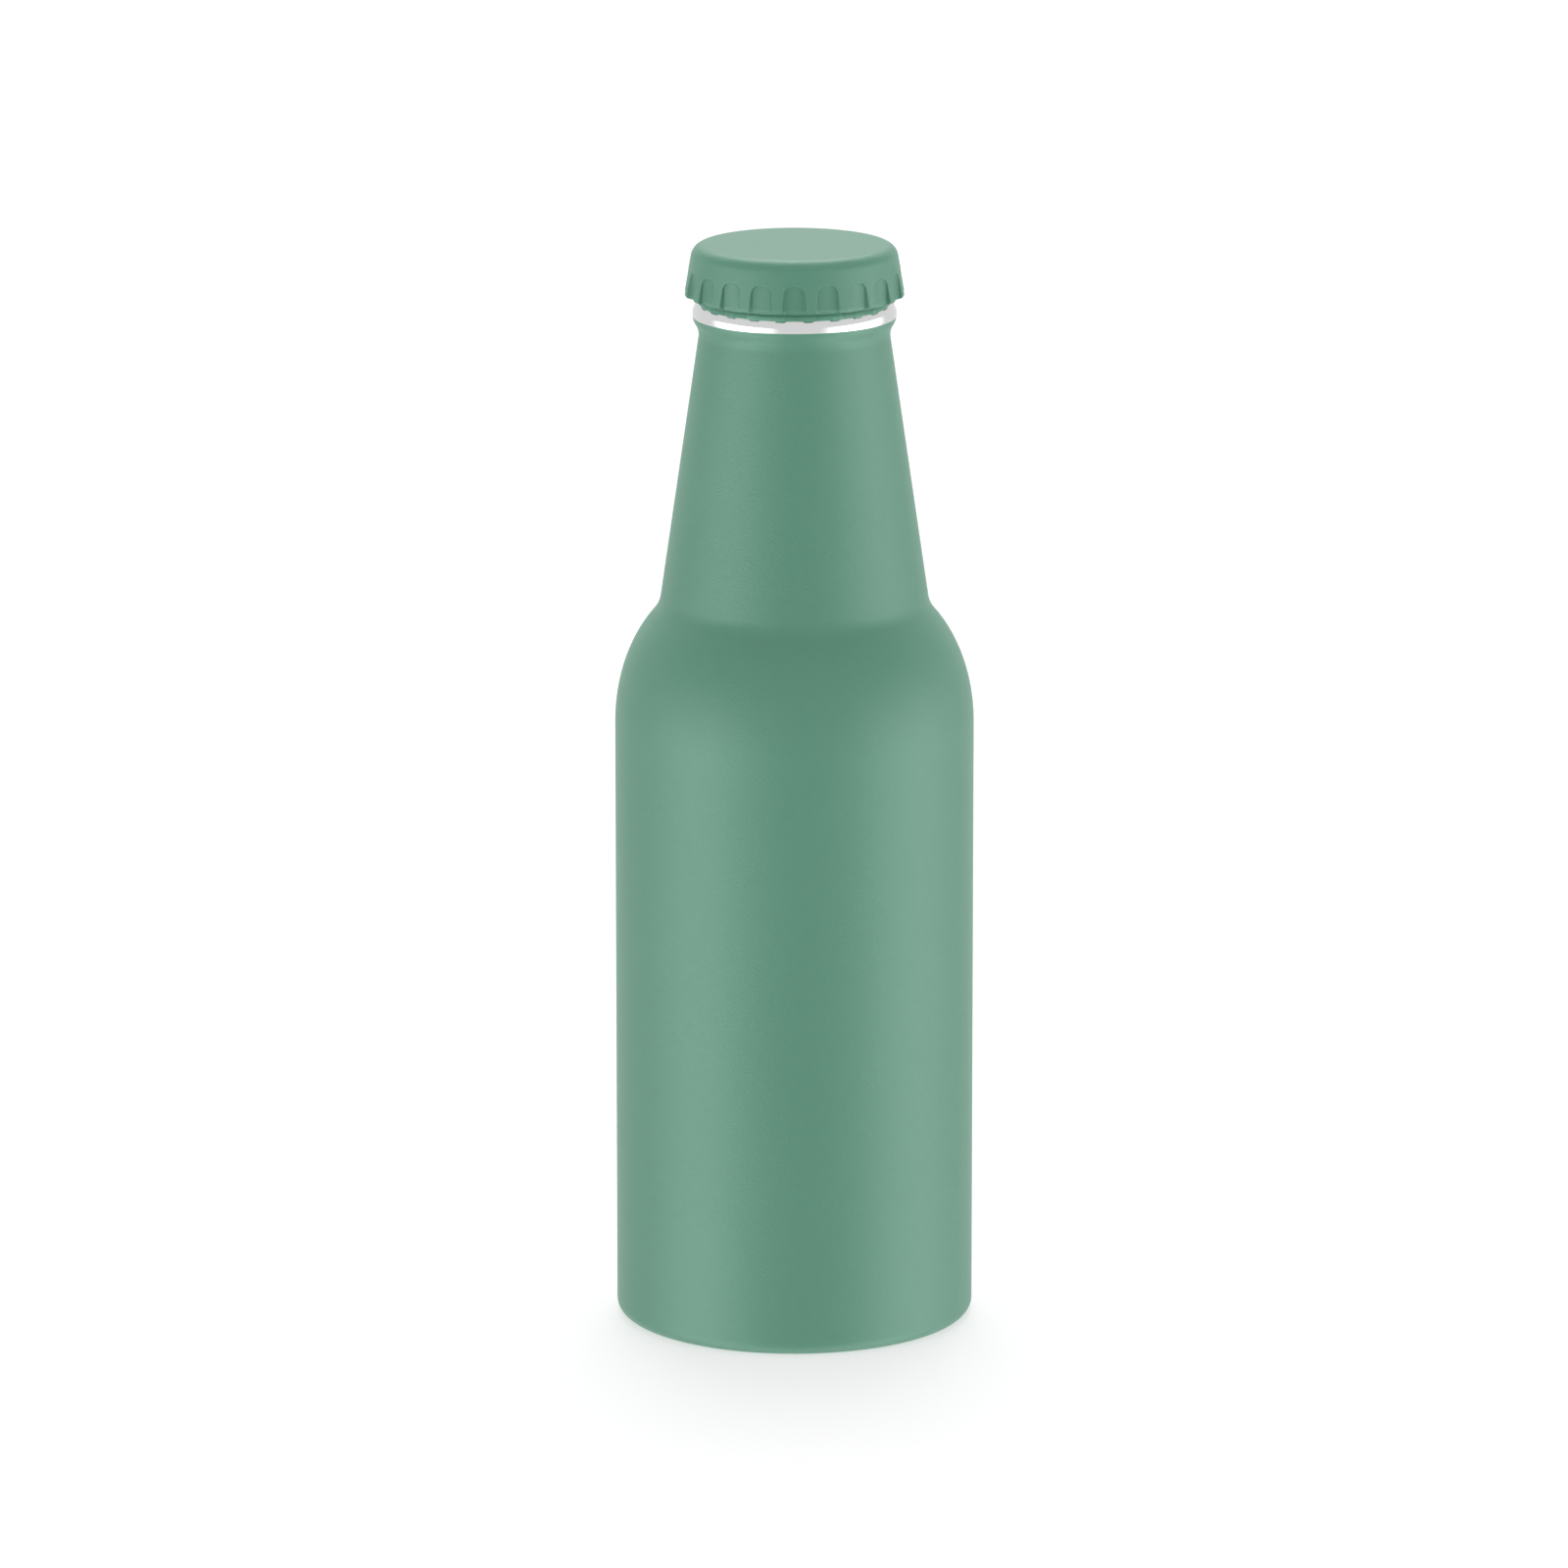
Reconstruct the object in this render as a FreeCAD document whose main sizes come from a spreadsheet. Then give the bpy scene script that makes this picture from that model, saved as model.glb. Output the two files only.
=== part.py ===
"""A shut, insulated steel drinking bottle with a crown-shaped cap.

Three pieces stand on one axis: the powder-coated bottle body, the bare polished
steel rim that rolls over at its mouth, and the coated cap that rests on the rim.
The bottle is shut, so all three are solid.

Millimetres, +Z up, origin at the centre of the foot. Heights stack upwards from
the foot: side, shoulder, neck, throat, rim, cap.
"""
import FreeCAD, Part
import math
import os
from types import SimpleNamespace

import Sketcher
from FreeCAD import Placement, Rotation, Vector

# Every size that can be set by itself: alias, value and what it measures.
# Lengths are in millimetres and angles in degrees.
DRIVING_SIZES = [
    ("body_radius", 36.5, "outer radius of the straight side"),
    ("side_height", 124.15, "foot to the start of the shoulder"),
    ("base_fillet", 2.83, "rounding of the outer bottom edge"),
    ("foot_inset", 6.5, "side to the inner edge of the foot ring"),
    ("foot_slope", 1.2, "radial run of the slanted inner wall of the foot"),
    ("base_recess", 2.0, "depth of the recessed underside"),
    ("foot_fillet", 0.8, "rounding of both edges of the recess wall"),
    ("shoulder_rise", 24.07, "height of the shoulder"),
    ("shoulder_reach", 21.25, "radial half-axis of the shoulder's ellipse"),
    ("neck_root_radius", 27.48, "radius where shoulder and neck meet"),
    ("neck_root_fillet", 6.96, "hollow rounding where shoulder and neck meet"),
    ("neck_rise", 55.37, "height of the straight cone of the neck"),
    ("throat_radius", 19.4, "radius at the top of the cone"),
    ("throat_rise", 4.78, "top of the cone to the middle of the rim's bead"),
    ("bead_overhang", 1.23, "how far the bead stands out from the throat"),
    ("bead_roundness", 3.51, "radius of the bead's section"),
    ("coat_edge_drop", 0.37, "middle of the bead down to the edge of the coating"),
    ("cap_overhang", 1.8, "how far the cap's hem stands out from the bead"),
    ("cap_height", 10.75, "underside to top of the cap"),
    ("cap_lean", 10.18, "lean of the cap's side"),
    ("cap_top_fillet", 2.72, "rounding of the cap's top edge"),
    ("recess_count", 20, "recesses round the cap"),
    ("recess_depth", 1.08, "hem to the floor of a recess"),
    ("recess_lean", 2.5, "lean of a recess floor"),
    ("recess_width", 3.9, "width of a recess floor"),
    ("recess_height", 5.66, "underside of the cap to the top of a recess floor"),
    ("recess_corner", 1.5, "corner radius of a recess floor"),
    ("recess_draft", 33.0, "flare of the recess walls"),
    ("recess_fillet", 0.3, "rounding of the outer edge of a recess"),
    ("floor_fillet", 0.15, "rounding between the floor and the walls of a recess"),
    ("hem_fillet", 0.4, "rounding of the cap's scalloped bottom edge"),
]

START, END, CENTRE = 1, 2, 3        # the sketcher's numbers for the points of an edge
UPRIGHT = -2                        # a sketch's vertical axis, which is the bottle's axis
QUARTER = math.pi / 2
NEAR = 1e-4                         # places closer than this, in millimetres, are the same
VOLUME_SLACK = 0.05                 # share by which a ring of equal cuts may differ from their sum


class Amount:
    """A size from the sheet, or a sum of sizes: its expression and its number."""

    def __init__(self, expression, number):
        self.expression = expression
        self.number = number

    def __add__(self, other):
        return Amount(f"{self.expression} + {other.expression}", self.number + other.number)

    def __sub__(self, other):
        return Amount(f"{self.expression} - ({other.expression})", self.number - other.number)


S = SimpleNamespace(**{alias: Amount("Sizes." + alias, value) for alias, value, _ in DRIVING_SIZES})

# Places that the pieces share, so that they fit each other at any size.
foot_inner = S.body_radius - S.foot_inset
recess_wall_top = foot_inner - S.foot_slope
neck_root_height = S.side_height + S.shoulder_rise
throat_height = neck_root_height + S.neck_rise
bead_height = throat_height + S.throat_rise
coat_edge_height = bead_height - S.coat_edge_drop
rim_top = bead_height + S.bead_roundness
bead_radius = S.throat_radius + S.bead_overhang
bead_centre = bead_radius - S.bead_roundness
hem_radius = bead_radius + S.cap_overhang


class Outline:
    """A closed outline in a body's upright plane, drawn edge by edge, then held in place."""

    def __init__(self, body, name):
        self.sketch = body.newObject("Sketcher::SketchObject", name)
        plane = next(f for f in body.Origin.OriginFeatures if f.Role == "XZ_Plane")
        self.sketch.AttachmentSupport = (plane, [""])
        self.sketch.MapMode = "FlatFace"
        self.edges = []             # geometry number, point entered at, point left at

    def draw(self, geometry, backwards=False):
        """Adds an edge to the outline and gives its number."""
        number = self.sketch.addGeometry(geometry)
        ends = (END, START) if backwards else (START, END)
        self.edges.append((number, *ends))
        return number

    def line(self, x1, y1, x2, y2):
        return self.draw(Part.LineSegment(Vector(x1, y1), Vector(x2, y2)))

    def arc(self, x, y, radius, first, last):
        """A round edge about (x, y), from one angle to another."""
        circle = Part.Circle(Vector(x, y), Vector(0, 0, 1), radius)
        geometry = Part.ArcOfCircle(circle, min(first, last), max(first, last))
        return self.draw(geometry, backwards=last < first)

    def hold(self, *constraint):
        return self.sketch.addConstraint(Sketcher.Constraint(*constraint))

    def join(self, smooth=()):
        """Joins each edge to the next one, without a corner after the smooth ones."""
        followers = self.edges[1:] + self.edges[:1]
        for (edge, _, exit_point), (following, entry_point, _) in zip(self.edges, followers):
            kind = "Tangent" if edge in smooth else "Coincident"
            self.hold(kind, edge, exit_point, following, entry_point)

    def size(self, name, amount, *constraint):
        """A named dimension that follows the sheet."""
        number = self.hold(*constraint, amount.number)
        self.sketch.renameConstraint(number, name)
        self.sketch.setExpression("Constraints." + name, amount.expression)

    def place(self, name, edge, point, x=None, y=None):
        """Sets a point's distance from the axis, its height, or both."""
        if x:
            self.size(name + "_radius", x, "DistanceX", edge, point)
        if y:
            self.size(name + "_height", y, "DistanceY", edge, point)


def make_sheet(document):
    """The spreadsheet of driving sizes: meaning, value and alias, one row each."""
    sheet = document.addObject("Spreadsheet::Sheet", "Sizes")
    for row, (alias, value, meaning) in enumerate(DRIVING_SIZES, start=1):
        sheet.set(f"A{row}", meaning)
        sheet.set(f"B{row}", str(value))
        sheet.setAlias(f"B{row}", alias)
    document.recompute()


def make_body(document, label):
    body = document.addObject("PartDesign::Body", label)
    body.Label = label
    body.Placement = Placement()
    return body


def revolve(body, outline, name):
    """Turns an outline once round the bottle's axis."""
    turned = body.newObject("PartDesign::Revolution", name)
    turned.Profile = outline.sketch
    turned.ReferenceAxis = (outline.sketch, ["V_Axis"])
    turned.Angle = 360
    outline.sketch.Document.recompute()
    return turned


def ring_edges(shape, radius, height):
    """Names of the whole round edges of a radius, at a height, about the axis."""
    names = []
    for number, edge in enumerate(shape.Edges, start=1):
        if not isinstance(edge.Curve, Part.Circle) or len(edge.Vertexes) > 1:
            continue
        if abs(edge.Curve.Radius - radius) < NEAR and abs(edge.Curve.Center.z - height) < NEAR:
            names.append(f"Edge{number}")
    return names


def round_edges(body, base, name, edges, amount):
    """Rounds the named edges of a feature by a radius from the sheet."""
    if not edges:
        raise RuntimeError(f"{body.Label}: no edge found for {name}")
    fillet = body.newObject("PartDesign::Fillet", name)
    fillet.Base = (base, edges)
    fillet.Radius = amount.number
    fillet.setExpression("Radius", amount.expression)
    body.Document.recompute()
    return fillet


def draw_bottle(body):
    """Half section of the bottle, from the recessed underside up to the coating's edge."""
    outline = Outline(body, "bottle_outline")
    side_top = S.side_height.number
    root_x, root_y = S.neck_root_radius.number, neck_root_height.number
    throat_x, throat_y = S.throat_radius.number, throat_height.number

    # Underside, foot ring and straight side.
    underside = outline.line(0, S.base_recess.number, recess_wall_top.number, S.base_recess.number)
    foot_wall = outline.line(recess_wall_top.number, S.base_recess.number, foot_inner.number, 0)
    foot = outline.line(foot_inner.number, 0, S.body_radius.number, 0)
    side = outline.line(S.body_radius.number, 0, S.body_radius.number, side_top)

    # Shoulder: part of an upright ellipse, level with the top of the side.
    run = S.body_radius.number - root_x
    reach = S.shoulder_reach.number
    sweep = math.acos(1 - run / reach)
    upright_axis = S.shoulder_rise.number / math.sin(sweep)
    middle = Vector(S.body_radius.number - reach, side_top)
    ellipse = Part.Ellipse(middle + Vector(0, upright_axis), middle - Vector(reach, 0), middle)
    shoulder = outline.draw(Part.ArcOfEllipse(ellipse, 3 * QUARTER, 3 * QUARTER + sweep))

    # Neck cone, then the hollow throat, whose arc touches both the cone and the bead.
    neck = outline.line(root_x, root_y, throat_x, throat_y)
    lean = math.atan2(root_x - throat_x, throat_y - root_y)
    across = Vector(math.cos(lean), math.sin(lean))
    bead = Vector(bead_centre.number, bead_height.number)
    bead_size = S.bead_roundness.number
    gap = Vector(throat_x, throat_y) - bead
    hollow_size = (gap.dot(gap) - bead_size ** 2) / (2 * (bead_size - gap.dot(across)))
    hollow = Vector(throat_x, throat_y) + across * hollow_size
    towards_hollow = math.atan2(hollow.y - bead.y, hollow.x - bead.x)
    throat = outline.arc(hollow.x, hollow.y, hollow_size, math.pi + lean, math.pi + towards_hollow)

    # Underside of the bead, up to where the coating ends.
    coat_end = -math.asin(S.coat_edge_drop.number / bead_size)
    bead_arc = outline.arc(bead.x, bead.y, bead_size, towards_hollow, coat_end)
    coat_radius = bead.x + bead_size * math.cos(coat_end)
    top = outline.line(coat_radius, coat_edge_height.number, 0, coat_edge_height.number)
    axis = outline.line(0, coat_edge_height.number, 0, S.base_recess.number)

    outline.join(smooth=(neck, throat))
    outline.hold("PointOnObject", axis, START, UPRIGHT)
    outline.hold("PointOnObject", axis, END, UPRIGHT)
    for level in (underside, foot, top):
        outline.hold("Horizontal", level)
    outline.hold("Vertical", side)
    outline.place("recess_wall_top", foot_wall, START, x=recess_wall_top, y=S.base_recess)
    outline.place("foot_inner", foot, START, x=foot_inner)
    outline.hold("PointOnObject", foot, START, -1)
    outline.place("side_top", side, END, x=S.body_radius, y=S.side_height)
    first_internal = outline.sketch.GeometryCount
    outline.sketch.exposeInternalGeometry(shoulder)
    outline.hold("Vertical", first_internal)
    outline.hold("Horizontal", shoulder, CENTRE, shoulder, START)
    outline.size("shoulder_reach", S.shoulder_reach, "DistanceX", shoulder, CENTRE, shoulder, START)
    outline.place("neck_root", neck, START, x=S.neck_root_radius, y=neck_root_height)
    outline.place("throat", neck, END, x=S.throat_radius, y=throat_height)
    outline.size("bead_roundness", S.bead_roundness, "Radius", bead_arc)
    outline.place("bead", bead_arc, CENTRE, x=bead_centre, y=bead_height)
    outline.place("coat_edge", bead_arc, END, y=coat_edge_height)
    return outline


def make_bottle(document):
    """The coated bottle: side, shoulder, neck and throat on a foot ring."""
    body = make_body(document, "bottle_body")
    turned = revolve(body, draw_bottle(body), "bottle_turned")
    root = ring_edges(turned.Shape, S.neck_root_radius.number, neck_root_height.number)
    rounded = round_edges(body, turned, "neck_root_rounding", root, S.neck_root_fillet)
    base_edge = ring_edges(rounded.Shape, S.body_radius.number, 0)
    rounded = round_edges(body, rounded, "base_rounding", base_edge, S.base_fillet)
    recess_edges = ring_edges(rounded.Shape, foot_inner.number, 0)
    recess_edges += ring_edges(rounded.Shape, recess_wall_top.number, S.base_recess.number)
    round_edges(body, rounded, "foot_rounding", recess_edges, S.foot_fillet)
    return body


def make_rim(document):
    """The bare steel rim: the rest of the bead, from the coating's edge to its flat top."""
    body = make_body(document, "mouth_rim")
    outline = Outline(body, "rim_outline")
    bead_size = S.bead_roundness.number
    coat_end = -math.asin(S.coat_edge_drop.number / bead_size)
    coat_radius = bead_centre.number + bead_size * math.cos(coat_end)
    underside = outline.line(0, coat_edge_height.number, coat_radius, coat_edge_height.number)
    bead = outline.arc(bead_centre.number, bead_height.number, bead_size, coat_end, QUARTER)
    top = outline.line(bead_centre.number, rim_top.number, 0, rim_top.number)
    axis = outline.line(0, rim_top.number, 0, coat_edge_height.number)
    outline.join(smooth=(bead,))
    outline.hold("PointOnObject", axis, START, UPRIGHT)
    outline.hold("PointOnObject", axis, END, UPRIGHT)
    outline.hold("Horizontal", underside)
    outline.hold("Horizontal", top)
    outline.size("bead_roundness", S.bead_roundness, "Radius", bead)
    outline.place("bead", bead, CENTRE, x=bead_centre, y=bead_height)
    outline.place("coat_edge", bead, START, y=coat_edge_height)
    revolve(body, outline, "rim_turned")
    return body


def make_cap_blank(body):
    """The cap before its recesses: a low cone with a well-rounded top edge."""
    outline = Outline(body, "cap_outline")
    height = S.cap_height.number
    top_radius = hem_radius.number - height * math.tan(math.radians(S.cap_lean.number))
    top_level = rim_top.number + height
    underside = outline.line(0, rim_top.number, hem_radius.number, rim_top.number)
    side = outline.line(hem_radius.number, rim_top.number, top_radius, top_level)
    top = outline.line(top_radius, top_level, 0, top_level)
    axis = outline.line(0, top_level, 0, rim_top.number)
    outline.join()
    outline.hold("PointOnObject", axis, START, UPRIGHT)
    outline.hold("PointOnObject", axis, END, UPRIGHT)
    outline.hold("Horizontal", underside)
    outline.hold("Horizontal", top)
    outline.place("hem", side, START, x=hem_radius, y=rim_top)
    outline.size("cap_height", S.cap_height, "DistanceY", side, START, side, END)
    side_run = Amount("Sizes.cap_height * tan(Sizes.cap_lean)", hem_radius.number - top_radius)
    outline.size("side_run", side_run, "DistanceX", side, END, side, START)
    turned = revolve(body, outline, "cap_turned")
    top_edge = ring_edges(turned.Shape, top_radius, top_level)
    return round_edges(body, turned, "cap_top_rounding", top_edge, S.cap_top_fillet)


def draw_recess(body):
    """A recess floor: an arch that stands on the cap's underside and leans with the floor."""
    outline = Outline(body, "recess_outline")
    half = S.recess_width.number / 2
    corner = S.recess_corner.number
    top = S.recess_height.number
    below = -S.recess_depth.number
    bottom = outline.line(-half, below, half, below)
    right = outline.line(half, below, half, top - corner)
    right_corner = outline.arc(half - corner, top - corner, corner, 0, QUARTER)
    crown = outline.line(half - corner, top, corner - half, top)
    left_corner = outline.arc(corner - half, top - corner, corner, QUARTER, 2 * QUARTER)
    left = outline.line(-half, top - corner, -half, below)
    outline.join(smooth=(right, right_corner, crown, left_corner))
    outline.hold("Horizontal", crown)
    outline.hold("Vertical", right)
    outline.hold("Vertical", left)
    outline.hold("Symmetric", bottom, START, bottom, END, UPRIGHT)
    outline.hold("Equal", right_corner, left_corner)
    outline.size("recess_width", S.recess_width, "DistanceX", bottom, START, bottom, END)
    outline.size("recess_corner", S.recess_corner, "Radius", right_corner)
    outline.place("recess_top", crown, START, y=S.recess_height)
    cut_below = Amount("-Sizes.recess_depth", below)
    outline.place("cut_below", bottom, START, y=cut_below)

    floor_radius = hem_radius - S.recess_depth
    sketch = outline.sketch
    sketch.AttachmentOffset = Placement(
        Vector(0, rim_top.number, floor_radius.number), Rotation(Vector(-1, 0, 0), S.recess_lean.number))
    sketch.setExpression("AttachmentOffset.Base.y", rim_top.expression)
    sketch.setExpression("AttachmentOffset.Base.z", floor_radius.expression)
    sketch.setExpression("AttachmentOffset.Rotation.Angle", S.recess_lean.expression)
    return sketch


def edges_between(shape, faces, lowest, highest):
    """Names of the edges of some faces that rise above one height and stay under another."""
    wanted = [edge for face in faces for edge in face.Edges if lowest < edge.BoundBox.ZMax < highest]
    return [f"Edge{number}" for number, edge in enumerate(shape.Edges, start=1)
            if any(edge.isSame(other) for other in wanted)]


def round_cap(body, ring):
    """Rounds the recesses' outer edges, then their floors, then the scalloped hem."""
    underside = rim_top.number
    above_recesses = (rim_top + S.recess_height + S.recess_depth).number
    side = max((f for f in ring.Shape.Faces if isinstance(f.Surface, Part.Cone)), key=lambda f: f.Area)
    edges = edges_between(ring.Shape, [side], underside + NEAR, above_recesses)
    rounded = round_edges(body, ring, "recess_rounding", edges, S.recess_fillet)
    flat = [f for f in rounded.Shape.Faces if isinstance(f.Surface, Part.Plane)]
    floors = [f for f in flat if f.BoundBox.ZLength > S.recess_corner.number]
    edges = edges_between(rounded.Shape, floors, underside + NEAR, above_recesses)
    rounded = round_edges(body, rounded, "floor_rounding", edges, S.floor_fillet)
    edges = edges_between(rounded.Shape, rounded.Shape.Faces, underside - NEAR, underside + NEAR)
    round_edges(body, rounded, "hem_rounding", edges, S.hem_fillet)


def make_cap(document):
    """The crown-shaped cap, scalloped by a ring of arched recesses."""
    body = make_body(document, "cap")
    blank = make_cap_blank(body)
    cut = body.newObject("PartDesign::Pocket", "recess")
    cut.Profile = draw_recess(body)
    cut.Reversed = True             # outwards, from the floor to beyond the side
    cut.Length = 2 * S.recess_depth.number
    cut.setExpression("Length", "2 * Sizes.recess_depth")
    cut.TaperAngle = S.recess_draft.number
    cut.setExpression("TaperAngle", S.recess_draft.expression)
    document.recompute()
    ring = body.newObject("PartDesign::PolarPattern", "recess_ring")
    ring.Originals = [cut]
    ring.Axis = (next(f for f in body.Origin.OriginFeatures if f.Role == "Z_Axis"), [""])
    ring.Angle = 360
    ring.Occurrences = int(S.recess_count.number)
    ring.setExpression("Occurrences", S.recess_count.expression)
    body.Tip = ring
    document.recompute()
    one_recess = blank.Shape.Volume - cut.Shape.Volume
    all_recesses = blank.Shape.Volume - ring.Shape.Volume
    expected = S.recess_count.number * one_recess
    if one_recess <= 0 or abs(all_recesses - expected) > VOLUME_SLACK * expected:
        raise RuntimeError("cap: the recesses don't all cut the side")
    round_cap(body, ring)
    return body


def check(document, bodies):
    """Stops on a failed feature, a loose sketch or a piece that isn't one sound solid."""
    for feature in document.Objects:
        if {"Invalid", "Error"} & set(feature.State):
            raise RuntimeError(f"{feature.Name} failed: {feature.State}")
        if feature.isDerivedFrom("Sketcher::SketchObject") and not feature.FullyConstrained:
            raise RuntimeError(f"{feature.Name} isn't fully constrained")
    for body in bodies:
        shape = body.Shape
        if shape.isNull() or not shape.isValid() or len(shape.Solids) != 1:
            raise RuntimeError(f"{body.Label} isn't one valid solid")


def main():
    document = FreeCAD.newDocument("insulated_bottle")
    make_sheet(document)
    bodies = [make_bottle(document), make_rim(document), make_cap(document)]
    document.recompute()
    check(document, bodies)
    os.makedirs("parts", exist_ok=True)
    for body in bodies:
        body.Shape.exportStep(f"parts/{body.Label}.step")
        print(f"{body.Label}: {len(body.Shape.Faces)} faces, {body.Shape.Volume:.1f} mm3")


main()
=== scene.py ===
import math

import bmesh
import bpy
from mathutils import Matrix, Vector


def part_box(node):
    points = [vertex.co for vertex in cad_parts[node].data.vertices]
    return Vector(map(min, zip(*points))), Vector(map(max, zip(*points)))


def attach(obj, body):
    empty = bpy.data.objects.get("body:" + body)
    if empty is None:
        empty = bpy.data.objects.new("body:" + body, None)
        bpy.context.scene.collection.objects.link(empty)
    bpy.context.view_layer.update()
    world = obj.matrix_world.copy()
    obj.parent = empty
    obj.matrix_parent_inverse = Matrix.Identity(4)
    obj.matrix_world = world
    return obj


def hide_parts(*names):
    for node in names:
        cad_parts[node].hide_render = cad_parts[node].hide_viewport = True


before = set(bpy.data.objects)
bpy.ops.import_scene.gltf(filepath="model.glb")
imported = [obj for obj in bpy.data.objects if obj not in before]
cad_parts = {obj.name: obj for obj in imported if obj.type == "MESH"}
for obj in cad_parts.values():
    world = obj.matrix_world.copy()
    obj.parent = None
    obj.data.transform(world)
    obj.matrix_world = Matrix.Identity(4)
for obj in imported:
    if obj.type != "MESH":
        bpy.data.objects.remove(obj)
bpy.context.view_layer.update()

MM = 0.001


def span(node):
    """Widest radius, lowest and highest point of a CAD node, in millimetres."""
    low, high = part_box(node)
    return high[0] / MM, low[2] / MM, high[2] / MM


BODY_RADIUS, FOOT, COAT_EDGE = span("bottle_body")
_, _, RIM_TOP = span("mouth_rim")
_, HEM, CAP_TOP = span("cap")

# Bottle outline, as in the CAD source, in millimetres.
SIDE_TOP = 124.15
BASE_FILLET = 2.83
FOOT_INNER = 30.0
FOOT_SLOPE = 1.2
FOOT_FILLET = 0.8
BASE_RECESS = 2.0
SHOULDER_REACH = 21.25
NECK_ROOT = (27.48, 148.22)
NECK_ROOT_FILLET = 6.96
THROAT = (19.4, 203.59)
BEAD_RADIUS = 20.63
BEAD_ROUNDNESS = 3.51
BEAD_CENTRE = (BEAD_RADIUS - BEAD_ROUNDNESS, RIM_TOP - BEAD_ROUNDNESS)

# Cap outline, in millimetres.
HEM_RADIUS = 22.43
CAP_LEAN = math.radians(10.18)
CAP_TOP_FILLET = 2.72
HEM_LIFT = 0.3                      # the skirt's edge is this much above the rim's top
HEM_FILLET = 0.6
RIM_CONTACT = 20.7                  # inside this radius the underside is level with the rim's top
RECESSES = 20
RECESS_DEPTH = 1.08
RECESS_LEAN = math.radians(2.5)
RECESS_WIDTH = 3.9
RECESS_HEIGHT = 5.66
RECESS_CORNER = 1.5
RECESS_DRAFT = math.radians(33)
EDGE_SOFTNESS = 0.13                # blend of a recess's wall into the cap's side
FLOOR_SOFTNESS = 0.1                # blend of a recess's wall into its floor

# How fine the meshes are, in millimetres or in numbers of points.
TURN_STEPS = 360
ARC_STEP = 0.22
BEAD_STEP = 0.08
STRAIGHT_STEP = 2
UNDERSIDE_STEP = 2.5
FOOT_STEP = 1
UNDERSIDE_ROOM = 2                  # the underside's level stretch stops this short of its corner
FOOT_ROOM = 1                       # and the foot's starts this far outside its own
HEM_STEPS = 6
CAP_TOP_STEPS = 14
ANGLE_STEPS = (5, 20, 4)            # on half a recess: its floor, its wall and the rib beside it
ROW_STEPS = (12, 34, 5)             # up the cap's side: below the arches, round them and above
UNDERSIDE_RINGS = (0.3, 0.6, 0.85, 1)
TOP_RINGS = (0.97, 0.85, 0.6, 0.3)
DEPTH_ROUNDS = 3                    # rounds that settle how deep a recess is at an angle
WALL_ZONE = (1.5, 2.9)              # distances from a recess's middle that hold its walls
ARCH_MARGINS = (0.3, 0.7)           # dense rows go this far below and above the arches' corners
TURNED_SHARP = math.radians(35)     # an edge sharper than this isn't smoothed
CAP_SHARP = math.radians(60)
HALVINGS = 40                       # rounds of the search for the shoulder's end


# ---------------------------------------------------------------- outlines

def arc(centre, radius, first, last, step=ARC_STEP):
    """Points along a round stretch, about one for each step of its length."""
    count = max(6, round(abs(last - first) * radius / step))
    angles = [first + (last - first) * i / count for i in range(count + 1)]
    return [(centre[0] + radius * math.cos(a), centre[1] + radius * math.sin(a)) for a in angles]


def straight(start, end, step):
    """Points along a straight stretch."""
    count = max(1, round(math.dist(start, end) / step))
    return [tuple(a + (b - a) * i / count for a, b in zip(start, end)) for i in range(count + 1)]


def corner(before, point, after, radius):
    """The arc that rounds the corner of two straight stretches."""
    into = (Vector(before) - Vector(point)).normalized()
    out = (Vector(after) - Vector(point)).normalized()
    half = into.angle(out) / 2
    middle = Vector(point) + (into + out).normalized() * (radius / math.sin(half))
    start = Vector(point) + into * (radius / math.tan(half)) - middle
    end = Vector(point) + out * (radius / math.tan(half)) - middle
    first = math.atan2(start.y, start.x)
    turn = start.angle_signed(end) * -1
    return arc(middle, radius, first, first + turn, ARC_STEP / 2)


def chain(*stretches):
    """Joins stretches into one line without repeated points."""
    points = []
    for stretch in stretches:
        for point in stretch:
            if not points or math.dist(points[-1], point) > 1e-5:
                points.append(tuple(point))
    return points


def bottle_outline():
    """Half section of the coated bottle, from the middle of the underside to its top."""
    foot_inner = (FOOT_INNER, FOOT)
    recess_top = (FOOT_INNER - FOOT_SLOPE, FOOT + BASE_RECESS)
    base_corner = (BODY_RADIUS, FOOT)
    base = [
        *straight((0, recess_top[1]), (recess_top[0] - UNDERSIDE_ROOM, recess_top[1]),
                  UNDERSIDE_STEP),
        *corner((0, recess_top[1]), recess_top, foot_inner, FOOT_FILLET),
        *corner(recess_top, foot_inner, base_corner, FOOT_FILLET),
        *straight((FOOT_INNER + FOOT_ROOM, FOOT), (BODY_RADIUS - BASE_FILLET, FOOT), FOOT_STEP),
        *corner(foot_inner, base_corner, (BODY_RADIUS, SIDE_TOP), BASE_FILLET),
    ]
    side = straight((BODY_RADIUS, FOOT + BASE_FILLET), (BODY_RADIUS, SIDE_TOP), STRAIGHT_STEP)
    shoulder, root_end = shoulder_outline()
    throat = throat_outline()
    neck = straight(root_end, THROAT, STRAIGHT_STEP)
    top = [(0, COAT_EDGE)]
    return chain(base, side, shoulder, neck, throat, top)


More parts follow.
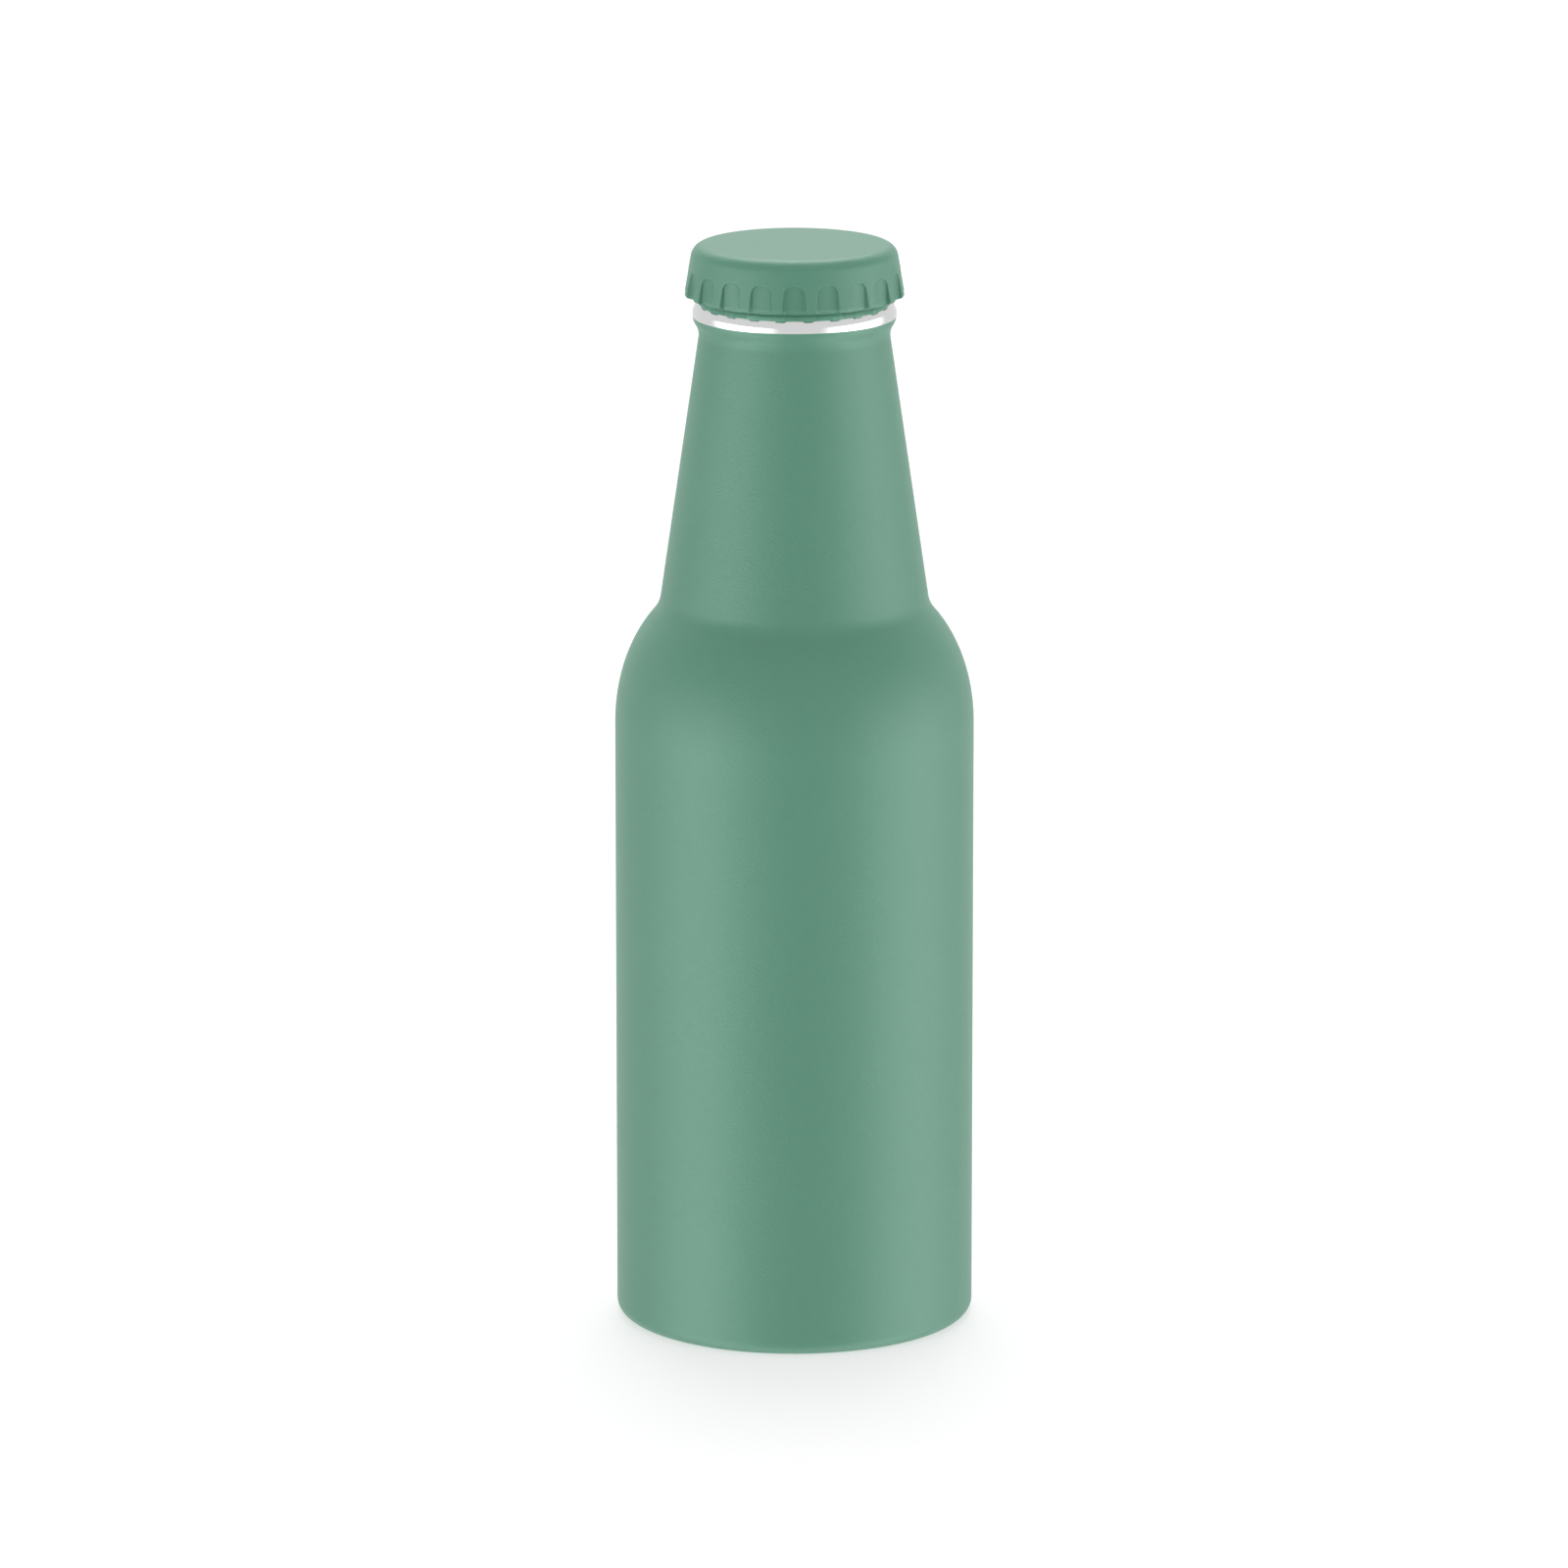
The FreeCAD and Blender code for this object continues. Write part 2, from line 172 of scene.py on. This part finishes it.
def shoulder_outline():
    """The elliptical shoulder and the hollow rounding that leads into the neck."""
    sweep = math.acos(1 - (BODY_RADIUS - NECK_ROOT[0]) / SHOULDER_REACH)
    upright = (NECK_ROOT[1] - SIDE_TOP) / math.sin(sweep)
    middle = BODY_RADIUS - SHOULDER_REACH
    neck_line = (Vector(THROAT) - Vector(NECK_ROOT)).normalized()
    outwards = Vector((neck_line.y, -neck_line.x))

    def on_ellipse(t):
        return Vector((middle + SHOULDER_REACH * math.cos(t), SIDE_TOP + upright * math.sin(t)))

    def ball_centre(t):
        normal = Vector((math.cos(t) / SHOULDER_REACH, math.sin(t) / upright)).normalized()
        return on_ellipse(t) + normal * NECK_ROOT_FILLET

    low, high = sweep / 2, sweep
    for _ in range(HALVINGS):
        t = (low + high) / 2
        clearance = (ball_centre(t) - Vector(NECK_ROOT)).dot(outwards) - NECK_ROOT_FILLET
        low, high = (t, high) if clearance > 0 else (low, t)
    centre = ball_centre(t)
    count = round(upright * t / (2 * ARC_STEP))
    ellipse = [tuple(on_ellipse(t * i / count)) for i in range(count + 1)]
    first = math.atan2(ellipse[-1][1] - centre.y, ellipse[-1][0] - centre.x) % math.tau
    last = math.pi + math.atan2(outwards.y, outwards.x)
    hollow = arc(centre, NECK_ROOT_FILLET, first, last)
    return chain(ellipse, hollow), hollow[-1]


def throat_outline():
    """The hollow between the neck and the bead, and the coated underside of the bead."""
    lean = math.atan2(NECK_ROOT[0] - THROAT[0], THROAT[1] - NECK_ROOT[1])
    across = Vector((math.cos(lean), math.sin(lean)))
    gap = Vector(THROAT) - Vector(BEAD_CENTRE)
    size = (gap.dot(gap) - BEAD_ROUNDNESS ** 2) / (2 * (BEAD_ROUNDNESS - gap.dot(across)))
    centre = Vector(THROAT) + across * size
    towards = math.atan2(centre.y - BEAD_CENTRE[1], centre.x - BEAD_CENTRE[0])
    hollow = arc(centre, size, math.pi + lean, math.pi + towards)
    bead = arc(BEAD_CENTRE, BEAD_ROUNDNESS, towards, coat_end_angle())
    return chain(hollow, bead)


def coat_end_angle():
    """Angle on the bead's section at which the coating ends."""
    return math.asin((COAT_EDGE - BEAD_CENTRE[1]) / BEAD_ROUNDNESS)


def rim_outline():
    """Half section of the steel rim: the bead above the coating, and its flat top."""
    bead = arc(BEAD_CENTRE, BEAD_ROUNDNESS, coat_end_angle(), math.pi / 2, BEAD_STEP)
    return chain([(0, COAT_EDGE)], bead, [(0, RIM_TOP)])


# ---------------------------------------------------------------- meshes

def finish_mesh(name, vertices, faces, sharp, hollow):
    """A smooth-shaded piece, in metres, with its sharp edges kept.

    hollow gives each point the number that recess_share describes.
    """
    mesh = bpy.data.meshes.new(name)
    mesh.from_pydata([Vector(v) * MM for v in vertices], [], faces)
    bm = bmesh.new()
    bm.from_mesh(mesh)
    bmesh.ops.recalc_face_normals(bm, faces=bm.faces)
    for face in bm.faces:
        face.smooth = True
    for edge in bm.edges:
        edge.smooth = edge.is_manifold and edge.calc_face_angle() < sharp
    bm.to_mesh(mesh)
    bm.free()
    depth = mesh.attributes.new("hollow", "FLOAT", "POINT")
    depth.data.foreach_set("value", hollow)
    piece = bpy.data.objects.new(name, mesh)
    bpy.context.collection.objects.link(piece)
    return piece


def skin(rings, lowest, highest):
    """Closes a stack of equal rings into one skin, with a point on the axis at each end."""
    count = len(rings[0])
    vertices = [point for ring in rings for point in ring]
    faces = []
    for ring in range(len(rings) - 1):
        for i in range(count):
            a, b = ring * count + i, ring * count + (i + 1) % count
            faces.append((a, b, b + count, a + count))
    last_ring = (len(rings) - 1) * count
    for start, height in ((0, lowest), (last_ring, highest)):
        pole = len(vertices)
        vertices.append((0, 0, height))
        faces += [(start + i, start + (i + 1) % count, pole) for i in range(count)]
    return vertices, faces


def turned(name, outline):
    """Turns an outline that starts and ends on the axis into a closed skin."""
    turns = [math.tau * i / TURN_STEPS for i in range(TURN_STEPS)]
    rings = [[(r * math.sin(turn), -r * math.cos(turn), z) for turn in turns]
             for r, z in outline[1:-1]]
    vertices, faces = skin(rings, outline[0][1], outline[-1][1])
    return finish_mesh(name, vertices, faces, TURNED_SHARP, [0.0] * len(vertices))


# ---------------------------------------------------------------- the cap's surface

def side_radius(z):
    """Radius of the cap without its recesses, at a height above the underside."""
    height = CAP_TOP - HEM
    slope = math.tan(CAP_LEAN)
    fillet_height = height - CAP_TOP_FILLET
    centre = HEM_RADIUS - fillet_height * slope - CAP_TOP_FILLET / math.cos(CAP_LEAN)
    above = z - fillet_height
    if above > CAP_TOP_FILLET * math.sin(CAP_LEAN):
        return centre + math.sqrt(max(CAP_TOP_FILLET ** 2 - above ** 2, 0))
    return HEM_RADIUS - z * slope


def soft_max(a, b, width):
    """The larger of two numbers, blended smoothly where they are close."""
    overlap = max(width - abs(a - b), 0) / width
    return max(a, b) + overlap ** 2 * width / 4


def cap_radius(angle, z):
    """Radius of the cap's side at an angle from a recess's middle."""
    side = side_radius(z)
    radius = side
    for _ in range(DEPTH_ROUNDS):
        across = abs(radius * math.sin(angle)) - (RECESS_WIDTH / 2 - RECESS_CORNER)
        up = z - (RECESS_HEIGHT - RECESS_CORNER)
        outside = math.hypot(max(across, 0), max(up, 0)) + min(max(across, up), 0) - RECESS_CORNER
        wall = soft_max(outside / math.tan(RECESS_DRAFT), 0, FLOOR_SOFTNESS)
        floor = HEM_RADIUS - RECESS_DEPTH - z * math.tan(RECESS_LEAN)
        radius = -soft_max(-(floor + wall) / math.cos(angle), -side, EDGE_SOFTNESS)
    return radius


def spread(first, last, count):
    """Even steps from a first value towards a last one, which is left out."""
    return [first + (last - first) * i / count for i in range(count)]


def cap_angles():
    """Angles round one recess, closest together on its walls."""
    half_pitch = math.pi / RECESSES
    inner, outer = [distance / HEM_RADIUS for distance in WALL_ZONE]
    on_floor, on_wall, on_rib = ANGLE_STEPS
    half = spread(0, inner, on_floor) + spread(inner, outer, on_wall)
    half += spread(outer, half_pitch, on_rib)
    return [-a for a in reversed(half[1:])] + half + [half_pitch]


def cap_heights():
    """Heights of the rings up the side, closest together at the tops of the recesses."""
    hem = HEM_LIFT + HEM_FILLET
    corners = RECESS_HEIGHT - RECESS_CORNER - ARCH_MARGINS[0]
    above = RECESS_HEIGHT + ARCH_MARGINS[1]
    fillet = CAP_TOP - HEM - CAP_TOP_FILLET + CAP_TOP_FILLET * math.sin(CAP_LEAN)
    below, around, over = ROW_STEPS
    rows = spread(hem, corners, below) + spread(corners, above, around)
    return rows + spread(above, fillet, over) + [fillet]


def side_ring(z):
    """One ring of the cap's side, with a recess facing the front."""
    return whole_ring([(angle, cap_radius(angle, z), z) for angle in cap_angles()])


def hem_ring(turn):
    """One ring of the hem's rounding, from its lowest point (0) to the side (a right angle)."""
    inwards = HEM_FILLET * (1 - math.sin(turn))
    side = HEM_LIFT + HEM_FILLET
    height = side - HEM_FILLET * math.cos(turn)
    return whole_ring([(angle, cap_radius(angle, side) - inwards, height)
                       for angle in cap_angles()])


def level_ring(radius, height):
    """A round ring with the same number of points as the side's rings."""
    return whole_ring([(angle, radius, height) for angle in cap_angles()])


def whole_ring(points):
    """Repeats the points of one recess (angle, radius, height) all the way round."""
    ring = []
    for recess in range(RECESSES):
        for angle, radius, height in points:
            turn = math.tau * recess / RECESSES + angle
            ring.append((radius * math.sin(turn), -radius * math.cos(turn), HEM + height))
    return ring


def recess_share(x, y, z):
    """0 on the cap's side, 1 on the floor of a recess and -1 on the underside.

    The slope above a recess's arch counts as side, and so does the hem.
    """
    height = z - HEM
    if height < HEM_LIFT / 2:
        return -1.0
    if not HEM_LIFT < height <= RECESS_HEIGHT:
        return 0.0
    deepest = side_radius(height) - (HEM_RADIUS - RECESS_DEPTH - height * math.tan(RECESS_LEAN))
    return min(max((side_radius(height) - math.hypot(x, y)) / deepest, 0.0), 1.0)


def crown_cap(name):
    """The cap: flat underside, hem, scalloped side, rounded top edge and flat top."""
    height = CAP_TOP - HEM
    top_centre = side_radius(height)
    rings = [level_ring(RIM_CONTACT * share, 0) for share in UNDERSIDE_RINGS]
    rings += [hem_ring(math.pi / 2 * i / HEM_STEPS) for i in range(HEM_STEPS)]
    rings += [side_ring(z) for z in cap_heights()]
    for i in range(1, CAP_TOP_STEPS + 1):
        turn = CAP_LEAN + (math.pi / 2 - CAP_LEAN) * i / CAP_TOP_STEPS
        radius = top_centre + CAP_TOP_FILLET * math.cos(turn)
        rings.append(level_ring(radius, height - CAP_TOP_FILLET * (1 - math.sin(turn))))
    rings += [level_ring(top_centre * share, height) for share in TOP_RINGS]
    vertices, faces = skin(rings, HEM, CAP_TOP)
    hollow = [recess_share(*vertex) for vertex in vertices]
    return finish_mesh(name, vertices, faces, CAP_SHARP, hollow)


# ---------------------------------------------------------------- materials

class Nodes:
    """A short way to write a material's nodes."""

    def __init__(self, tree):
        self.tree = tree
        tree.nodes.clear()

    def add(self, kind, inputs=None, **settings):
        """One node; each input is a socket to link or a plain value."""
        node = self.tree.nodes.new(kind)
        for key, value in settings.items():
            setattr(node, key, value)
        for key, value in (inputs or {}).items():
            if isinstance(value, bpy.types.NodeSocket):
                self.tree.links.new(value, node.inputs[key])
            else:
                node.inputs[key].default_value = value
        return node

    def mix(self, first, second, share):
        """Mixes two shaders: a share of 0 is the first one, and 1 the second."""
        node = self.add("ShaderNodeMixShader", {"Fac": share})
        self.tree.links.new(first.outputs[0], node.inputs[1])
        self.tree.links.new(second.outputs[0], node.inputs[2])
        return node

    def blend(self, first, second, share):
        """Mixes two colours in the same way, and returns the colour."""
        inputs = {"Factor": share, "A": first, "B": second}
        return self.add("ShaderNodeMix", inputs, data_type="RGBA").outputs["Result"]

    def maths(self, operation, *values):
        """One Math node, and returns its value."""
        node = self.add("ShaderNodeMath", operation=operation)
        for socket, value in zip(node.inputs, values):
            if isinstance(value, bpy.types.NodeSocket):
                self.tree.links.new(value, socket)
            else:
                socket.default_value = value
        return node.outputs[0]


def new_material(name):
    """An empty material, and its nodes to fill."""
    material = bpy.data.materials.new(name)
    material.use_nodes = True
    return material, Nodes(material.node_tree)


COAT_GREEN = (0.072, 0.220, 0.148, 1)
COAT_GREEN_PALE = (0.078, 0.230, 0.156, 1)
COAT_GREEN_SHADED = (0.030, 0.145, 0.086, 1)     # painted shade in the recesses, strongest on their walls
COAT_GREEN_UNDER_LIT = (0.13, 0.37, 0.255, 1)      # painted light: the cap's underside is paler to stand in for light under the cap, set from its reflection
COAT_GRAIN = 0.00023             # width of a bump in the powder coat, in metres
COAT_RELIEF = 0.000054           # height of those bumps, in metres
COAT_CELLS = 0.6                 # share of round lumps in the relief, beside the noise
COAT_LEVEL = 0.75                # taken off that height before the recesses scale it
COAT_GLOSS = (0.36, 0.44)        # lowest and highest roughness
COAT_CLOUDS = 45.0               # scale of the uneven colour
HOLLOW_RELIEF = 0.4              # how much stronger the relief is in the recesses
WALL_SHADE = 3.4                 # painted shade on the walls; a quarter of this is the share
FLOOR_SHADE = 0.18               # painted shade on the floors, as a share

STEEL_COLOUR = (0.79, 0.80, 0.795, 1)
STEEL_LINES = (60, 60, 9000)     # scale of the turning lines, which run round the rim
STEEL_RELIEF = 0.0000008         # height of those lines, in metres
STEEL_GLOSS = (0.07, 0.12)       # lowest and highest roughness


def coat_relief(nodes, noise, place, hollow):
    """The normal of the coat's fine orange-peel skin."""
    lumps = nodes.add("ShaderNodeTexVoronoi", {
        "Vector": place, "Scale": 0.8 / COAT_GRAIN, "Smoothness": 0.6}, feature="SMOOTH_F1")
    centred = nodes.maths("SUBTRACT", noise, COAT_LEVEL)
    height = nodes.maths("MULTIPLY_ADD", lumps.outputs[0], COAT_CELLS, centred)
    strength = nodes.maths("MULTIPLY_ADD", hollow, HOLLOW_RELIEF, 1.0)
    height = nodes.maths("MULTIPLY", height, strength)
    bump = {"Height": height, "Distance": COAT_RELIEF, "Strength": 1.0}
    return nodes.add("ShaderNodeBump", bump).outputs[0]


def coat_colour(nodes, place, hollow):
    """Slightly uneven green, with painted shade in the recesses and painted light on the cap's
    underside.
    """
    clouds = nodes.add("ShaderNodeTexNoise", {"Vector": place, "Scale": COAT_CLOUDS, "Detail": 3.0})
    green = nodes.blend(COAT_GREEN, COAT_GREEN_PALE, clouds.outputs[0])
    # painted shade: darker green on the recess walls and floors, where shade falls
    on_wall = nodes.maths("MULTIPLY", hollow, nodes.maths("SUBTRACT", 1.0, hollow))
    on_floor = nodes.maths("MULTIPLY", hollow, FLOOR_SHADE)
    depth = nodes.maths("MULTIPLY_ADD", on_wall, WALL_SHADE, on_floor)
    shaded_green = nodes.blend(green, COAT_GREEN_SHADED, depth)
    # painted light: the underside is paler, standing in for light under the cap
    under = nodes.maths("MULTIPLY", hollow, -1.0)
    return nodes.blend(shaded_green, COAT_GREEN_UNDER_LIT, under)


def powder_coat(name):
    """Satin powder coat: fine relief with slightly uneven gloss and colour."""
    material, nodes = new_material(name)
    place = nodes.add("ShaderNodeTexCoord").outputs["Object"]
    hollow = nodes.add("ShaderNodeAttribute", attribute_name="hollow").outputs["Fac"]
    noise = nodes.add("ShaderNodeTexNoise", {
        "Vector": place, "Scale": 1 / COAT_GRAIN, "Detail": 2.0, "Roughness": 0.55}).outputs[0]
    gloss = nodes.add("ShaderNodeMapRange", {
        "Value": noise, "To Min": COAT_GLOSS[0], "To Max": COAT_GLOSS[1]})
    coat = nodes.add("ShaderNodeBsdfPrincipled", {
        "Base Color": coat_colour(nodes, place, hollow),
        "Roughness": gloss.outputs[0],
        "Normal": coat_relief(nodes, noise, place, hollow),
        "IOR": 1.5})
    nodes.add("ShaderNodeOutputMaterial", {"Surface": coat.outputs[0]})
    return material


def polished_steel(name):
    """Polished steel with faint turning lines round the rim."""
    material, nodes = new_material(name)
    place = nodes.add("ShaderNodeTexCoord").outputs["Object"]
    stretched = nodes.add("ShaderNodeMapping", {"Vector": place, "Scale": STEEL_LINES})
    lines = nodes.add("ShaderNodeTexNoise", {
        "Vector": stretched.outputs[0], "Scale": 1.0, "Detail": 3.0}).outputs[0]
    bump = nodes.add("ShaderNodeBump", {
        "Height": lines, "Distance": STEEL_RELIEF, "Strength": 1.0})
    gloss = nodes.add("ShaderNodeMapRange", {
        "Value": lines, "To Min": STEEL_GLOSS[0], "To Max": STEEL_GLOSS[1]})
    steel = nodes.add("ShaderNodeBsdfPrincipled", {
        "Base Color": STEEL_COLOUR, "Metallic": 1.0, "Roughness": gloss.outputs[0],
        "Normal": bump.outputs[0]})
    nodes.add("ShaderNodeOutputMaterial", {"Surface": steel.outputs[0]})
    return material


# ---------------------------------------------------------------- stage, light and camera

WHITE = (1, 1, 1, 1)
FLOOR_HALF = 3.0                 # half the floor's side, in metres
FLOOR_COLOUR = (0.8, 0.8, 0.8, 1)
FLOOR_WHITE = 1.15               # strength of the glow that the camera sees
FLOOR_SEEN = 0.5                 # share of that glow in what the camera sees
FLOOR_GLOW = 1.05                # strength of the glow that lights the bottle


def make_floor():
    """A pale light table: white all round the bottle, with its soft shadow under it.

    The camera sees half glow and half plain floor, which holds the shadow. The bottle is
    lit by the glow, and sees past the floor in mirror reflections.
    """
    mesh = bpy.data.meshes.new("floor")
    half = FLOOR_HALF
    corners = [(-half, -half), (half, -half), (half, half), (-half, half)]
    mesh.from_pydata([(x, y, FOOT * MM) for x, y in corners], [], [(0, 1, 2, 3)])
    floor = bpy.data.objects.new("floor", mesh)
    bpy.context.collection.objects.link(floor)
    material, nodes = new_material("floor")
    path = nodes.add("ShaderNodeLightPath")
    from_camera = path.outputs["Is Camera Ray"]
    pale = nodes.add("ShaderNodeBsdfDiffuse", {"Color": FLOOR_COLOUR})
    white = nodes.add("ShaderNodeEmission", {"Color": WHITE, "Strength": FLOOR_WHITE})
    shown = nodes.mix(pale, white, nodes.maths("MULTIPLY", from_camera, FLOOR_SEEN))
    glow = nodes.add("ShaderNodeEmission", {"Color": WHITE, "Strength": FLOOR_GLOW})
    table = nodes.mix(glow, shown, from_camera)
    mirrored = nodes.maths(
        "MAXIMUM", path.outputs["Is Glossy Ray"], path.outputs["Is Transmission Ray"])
    surface = nodes.mix(table, nodes.add("ShaderNodeBsdfTransparent"), mirrored)
    nodes.add("ShaderNodeOutputMaterial", {"Surface": surface.outputs[0]})
    floor.data.materials.append(material)


AMBIENT = 0.8
# Light in the world beside the ambient: azimuth of the middle and half width, then lowest
# and highest elevation, all in degrees as seen from the bottle with the camera at
# azimuth 0, then how soft the sides and the top are, and how much brighter it is. An
# elevation past 90 degrees leaves that end open.
LIGHT_PANELS = [
    (-62, 26, -150, 9, 44, 5, 3.1),        # low soft box on the left
    (77, 28, -150, 12, 44, 5, 2.7),        # low soft box on the right
    (180, 29, 35, 150, 50, 20, 4.5),       # overhead light at the back
]


def window(nodes, value, middle, half_width, softness):
    """1 inside a range of angles and 0 outside it, with soft ends."""
    apart = nodes.maths("ABSOLUTE", nodes.maths("SUBTRACT", value, math.radians(middle)))
    the_other_way = nodes.maths("ABSOLUTE", nodes.maths("SUBTRACT", apart, math.tau))
    inside = nodes.add("ShaderNodeMapRange", {
        "Value": nodes.maths("MINIMUM", apart, the_other_way),
        "From Min": math.radians(half_width + softness / 2),
        "From Max": math.radians(half_width - softness / 2)}, interpolation_type="SMOOTHSTEP")
    return inside.outputs[0]


def make_world():
    """Pale surroundings with a low soft box on each side and a light overhead."""
    world = bpy.data.worlds.new("studio")
    world.use_nodes = True
    # The floor is clear to mirror rays alone, and sampling the world would lose what they see.
    world.cycles.sampling_method = "NONE"
    bpy.context.scene.world = world
    nodes = Nodes(world.node_tree)
    direction = nodes.add("ShaderNodeTexCoord").outputs["Generated"]
    axes = nodes.add("ShaderNodeSeparateXYZ", {"Vector": direction})
    towards_camera = nodes.maths("MULTIPLY", axes.outputs["Y"], -1.0)
    azimuth = nodes.maths("ARCTAN2", axes.outputs["X"], towards_camera)
    elevation = nodes.maths("ARCSINE", axes.outputs["Z"])
    light = AMBIENT
    for middle, half_width, lowest, highest, side_softness, top_softness, extra in LIGHT_PANELS:
        across = window(nodes, azimuth, middle, half_width, side_softness)
        level, half_height = (lowest + highest) / 2, (highest - lowest) / 2
        up = window(nodes, elevation, level, half_height, top_softness)
        panel = nodes.maths("MULTIPLY", nodes.maths("MULTIPLY", across, up), extra)
        light = nodes.maths("ADD", light, panel)
    path = nodes.add("ShaderNodeLightPath")
    strength = nodes.add("ShaderNodeMix", {
        "Factor": path.outputs["Is Camera Ray"], "A": light, "B": 1.0})
    surroundings = nodes.add("ShaderNodeBackground", {
        "Color": WHITE, "Strength": strength.outputs[0]})
    nodes.add("ShaderNodeOutputWorld", {"Surface": surroundings.outputs[0]})


CAMERA_PLACE = (0, -2.0524, 0.59094)       # in metres
CAMERA_DROP = 13.1646                      # how far it looks down, in degrees
CAMERA_LENS = 237.4                        # on a sensor 36 mm wide
CAMERA_SHIFT = -0.00668


def make_camera():
    """A long lens a little above the bottle, looking down on its cap."""
    data = bpy.data.cameras.new("camera")
    data.sensor_width = 36
    data.lens = CAMERA_LENS
    data.shift_x = CAMERA_SHIFT
    data.clip_end = 20
    camera = bpy.data.objects.new("camera", data)
    camera.location = CAMERA_PLACE
    camera.rotation_euler = (math.radians(90 - CAMERA_DROP), 0, 0)
    bpy.context.collection.objects.link(camera)
    bpy.context.scene.camera = camera


# ---------------------------------------------------------------- the bottle

def add_piece(piece, node, material):
    """Dresses a piece and puts it in the place of its CAD node."""
    piece.data.materials.append(material)
    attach(piece, "root")
    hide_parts(node)


make_camera()
make_floor()
make_world()
bottle = turned("bottle_shell", bottle_outline())
rim = turned("steel_bead", rim_outline())
add_piece(bottle, "bottle_body", powder_coat("body_coat"))
add_piece(rim, "mouth_rim", polished_steel("polished_steel"))
add_piece(crown_cap("crown_cap"), "cap", powder_coat("cap_coat"))

scene = bpy.context.scene
scene.view_settings.view_transform = "Standard"
